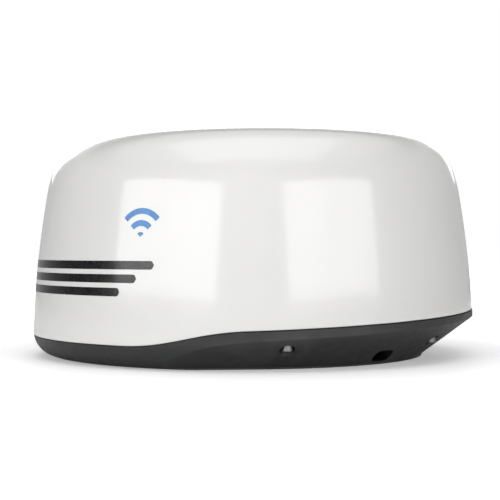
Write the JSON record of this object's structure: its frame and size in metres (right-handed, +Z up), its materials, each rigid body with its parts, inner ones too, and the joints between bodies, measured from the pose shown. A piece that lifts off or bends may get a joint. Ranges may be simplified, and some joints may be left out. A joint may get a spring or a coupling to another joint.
{
  "type": "radar dome antenna",
  "caption": "Round marine radar dome: white radome over a belt driven turning antenna array, on a dark base with a cable bay and bolt mounts.",
  "frame": {"origin": "centre of the base housing underside, where it stands on the mast plate", "axes": "+Z up along the antenna axis; -Y is the bow side of the dome; +X is starboard when seen from above with the bow away"},
  "size_m": [0.508, 0.508, 0.25],
  "materials": {
    "gelcoat_white": "gloss white moulded radome",
    "housing_grey": "dark grey fine texture",
    "stainless": "stainless steel fasteners",
    "brass": "turned brass",
    "seal_rubber": "soft black rubber",
    "aluminium": "bare satin aluminium",
    "cast_aluminium": "blasted cast aluminium",
    "bearing_steel": "polished bearing steel",
    "belt_rubber": "black belt rubber",
    "motor_black": "black painted motor with steel laminations",
    "circuit_green": "green solder mask",
    "copper": "tinned copper",
    "black_plastic": "black moulded plastic",
    "magnet": "plated magnet",
    "tinned_steel": "tin plated sheet",
    "cable_jacket": "black cable jacket"
  },
  "bodies": {
    "base": {"base_housing": "housing_grey", "bearing_balls": "bearing_steel", "bearing_housing": "cast_aluminium", "board_components": "black_plastic", "board_standoffs": "brass", "chassis_pillars": "aluminium", "chassis_plate": "aluminium", "chassis_screws": "stainless", "circulator": "tinned_steel", "dome_gasket": "seal_rubber", "dome_screws": "stainless", "drive_belt": "belt_rubber", "feed_cable": "copper", "ground_screw": "brass", "heading_sensor": "circuit_green", "lower_bearing_outer": "bearing_steel", "magnetron": "copper", "magnetron_magnet": "magnet", "main_board": "circuit_green", "modulator_board": "circuit_green", "modulator_parts": "black_plastic", "motor_bracket": "aluminium", "motor_lead": "cable_jacket", "motor_screws": "stainless", "mount_inserts": "brass", "plate_screws": "stainless", "receiver_module": "tinned_steel", "rotary_joint_stator": "brass", "screw_washers": "seal_rubber", "sensor_bracket": "aluminium", "shield_can": "tinned_steel", "socket_insulators": "black_plastic", "socket_nuts": "tinned_steel", "socket_pins": "brass", "socket_seals": "seal_rubber", "socket_shells": "tinned_steel", "stepper_motor": "motor_black", "transceiver_housing": "cast_aluminium", "transceiver_lid": "cast_aluminium", "upper_bearing_outer": "bearing_steel", "vent_plug": "black_plastic", "wiring_harness": "cable_jacket"},
    "cover": {"radome_cover": "gelcoat_white", "cover_inserts": "brass"},
    "antenna": {"rotor_shaft": "aluminium", "retaining_ring": "bearing_steel", "lower_bearing_inner": "bearing_steel", "upper_bearing_inner": "bearing_steel", "rotary_joint_rotor": "brass", "driven_pulley": "cast_aluminium", "array_bracket": "aluminium", "array_bracket_screws": "stainless", "array_frame": "cast_aluminium", "array_board": "circuit_green", "array_patches": "copper", "array_screws": "stainless", "array_feed": "copper", "heading_magnet": "magnet"},
    "motor": {"motor_shaft": "bearing_steel", "motor_pulley": "cast_aluminium"}
  },
  "joints": [
    {"name": "antenna_spin", "type": "hinge", "parent": "base", "child": "antenna", "pos_m": [0, 0, 0], "axis": [0, 0, 1], "continuous": true},
    {"name": "motor_spin", "type": "hinge", "parent": "base", "child": "motor", "pos_m": [0.088, 0, 0], "axis": [0, 0, 1], "continuous": true},
    {"name": "cover_lift", "type": "slide", "parent": "base", "child": "cover", "axis": [0, 0, 1], "range_m": [0, 0.24]}
  ],
  "couplings": [
    {"joint": "motor_spin", "follows": "antenna_spin", "ratio": 5}
  ]
}
